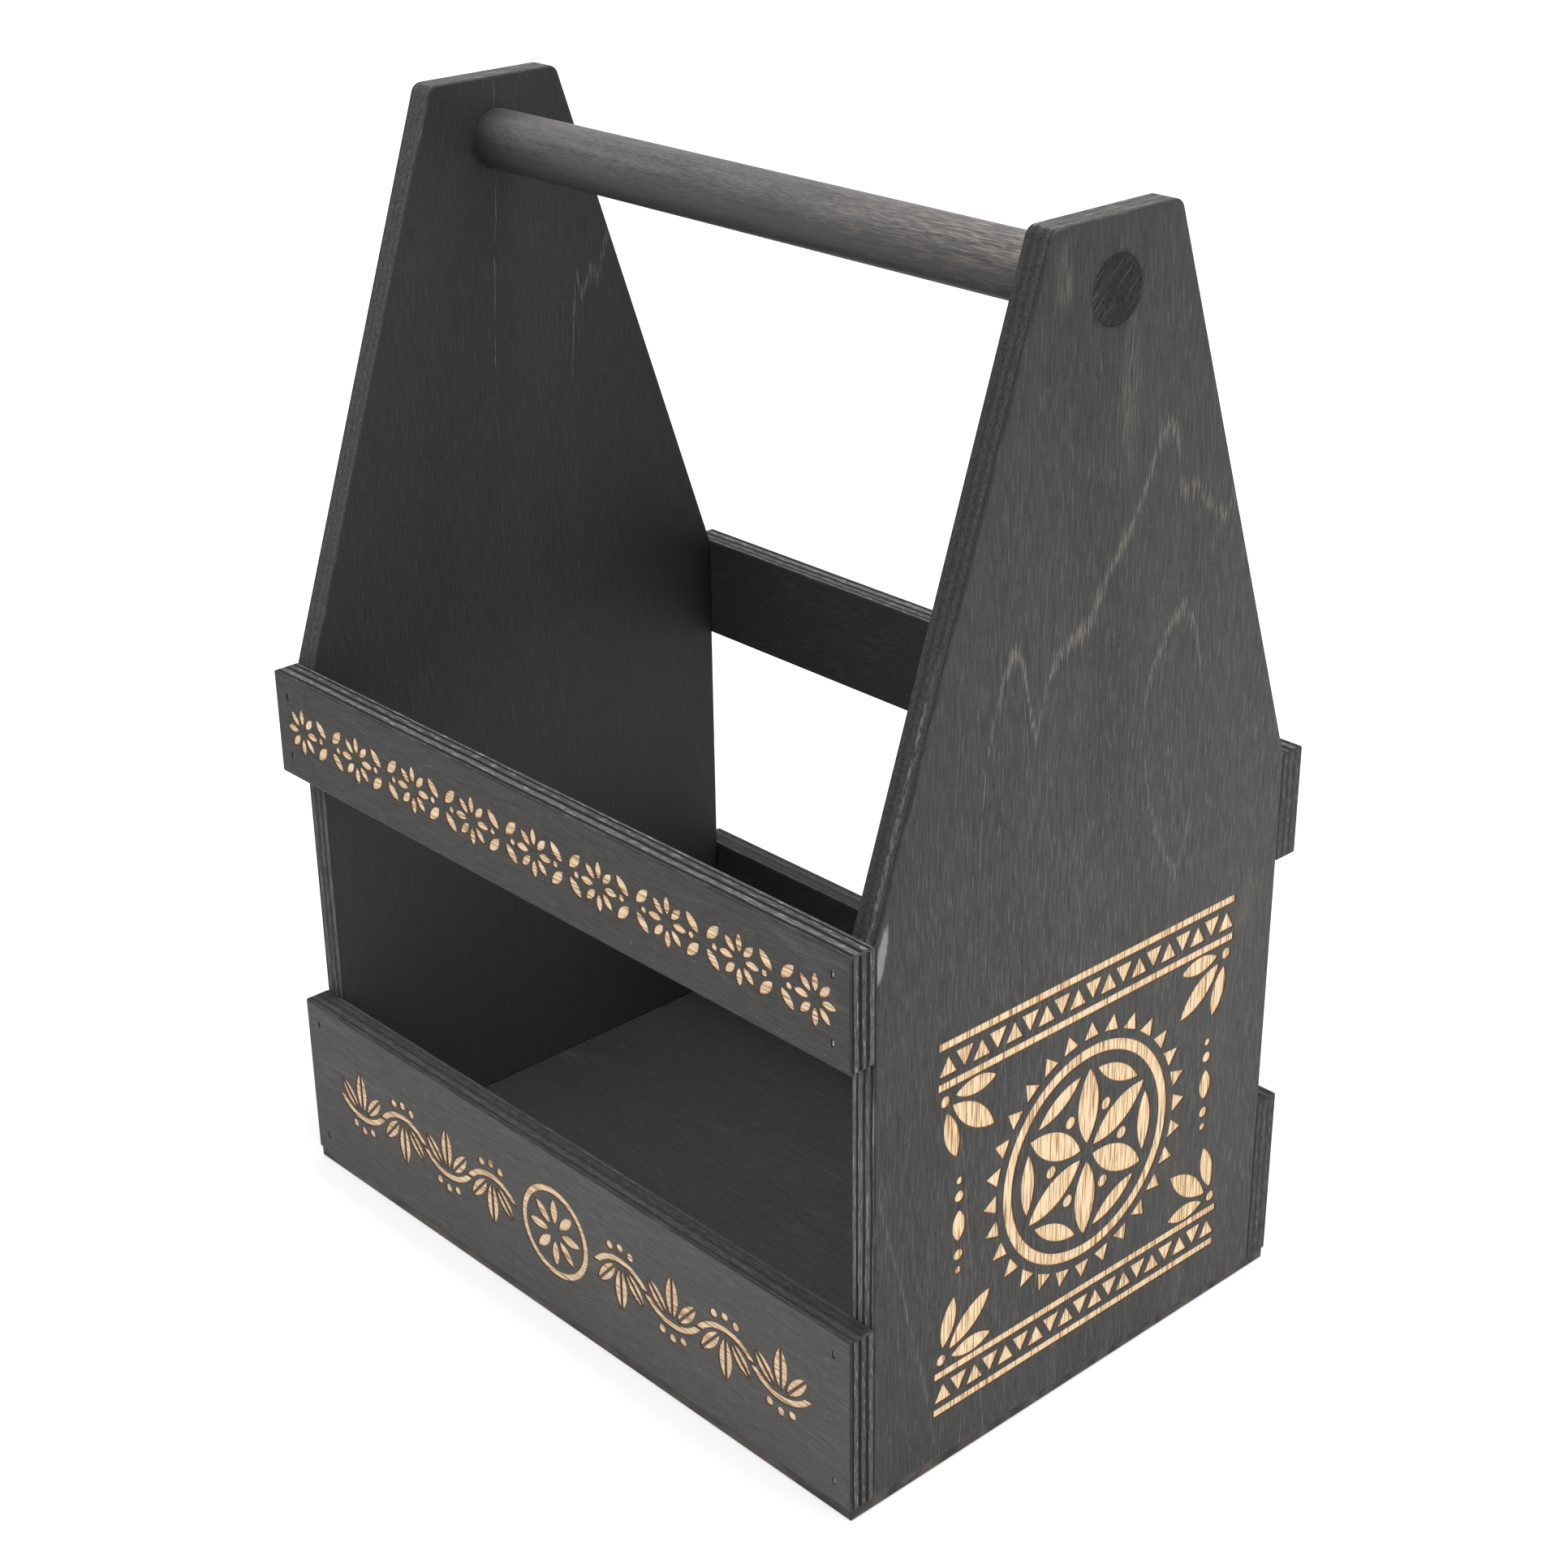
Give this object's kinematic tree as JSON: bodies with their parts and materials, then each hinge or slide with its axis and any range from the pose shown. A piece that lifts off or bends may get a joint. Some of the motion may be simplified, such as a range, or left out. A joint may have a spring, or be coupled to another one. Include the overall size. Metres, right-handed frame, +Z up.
{
  "type": "six pack carrier",
  "caption": "Dark stained plywood bottle carrier: house-shaped end panels, a round dowel handle, slats on both long sides and a flat base board.",
  "frame": {"origin": "middle of the base board's underside, on the surface that the carrier stands on", "axes": "+Z up, +X along the handle towards the ornamented end panel, -Y towards the ornamented long side"},
  "size_m": [0.232, 0.1644, 0.3145],
  "materials": {
    "stained_panel_ply": "matt dark stain",
    "stained_slat_ply": "matt dark stain",
    "stained_base_ply": "matt dark stain",
    "stained_dowel": "matt dark stain",
    "brad_steel": "plain"
  },
  "bodies": {
    "root": {"end_panel_right": "stained_panel_ply", "end_panel_left": "stained_panel_ply", "handle_dowel": "stained_dowel", "front_upper_slat": "stained_slat_ply", "front_lower_slat": "stained_slat_ply", "back_upper_slat": "stained_slat_ply", "back_lower_slat": "stained_slat_ply", "base_board": "stained_base_ply", "front_upper_slat_brads": "brad_steel", "front_lower_slat_brads": "brad_steel", "back_upper_slat_brads": "brad_steel", "back_lower_slat_brads": "brad_steel", "base_brads": "brad_steel"}
  },
  "joints": []
}
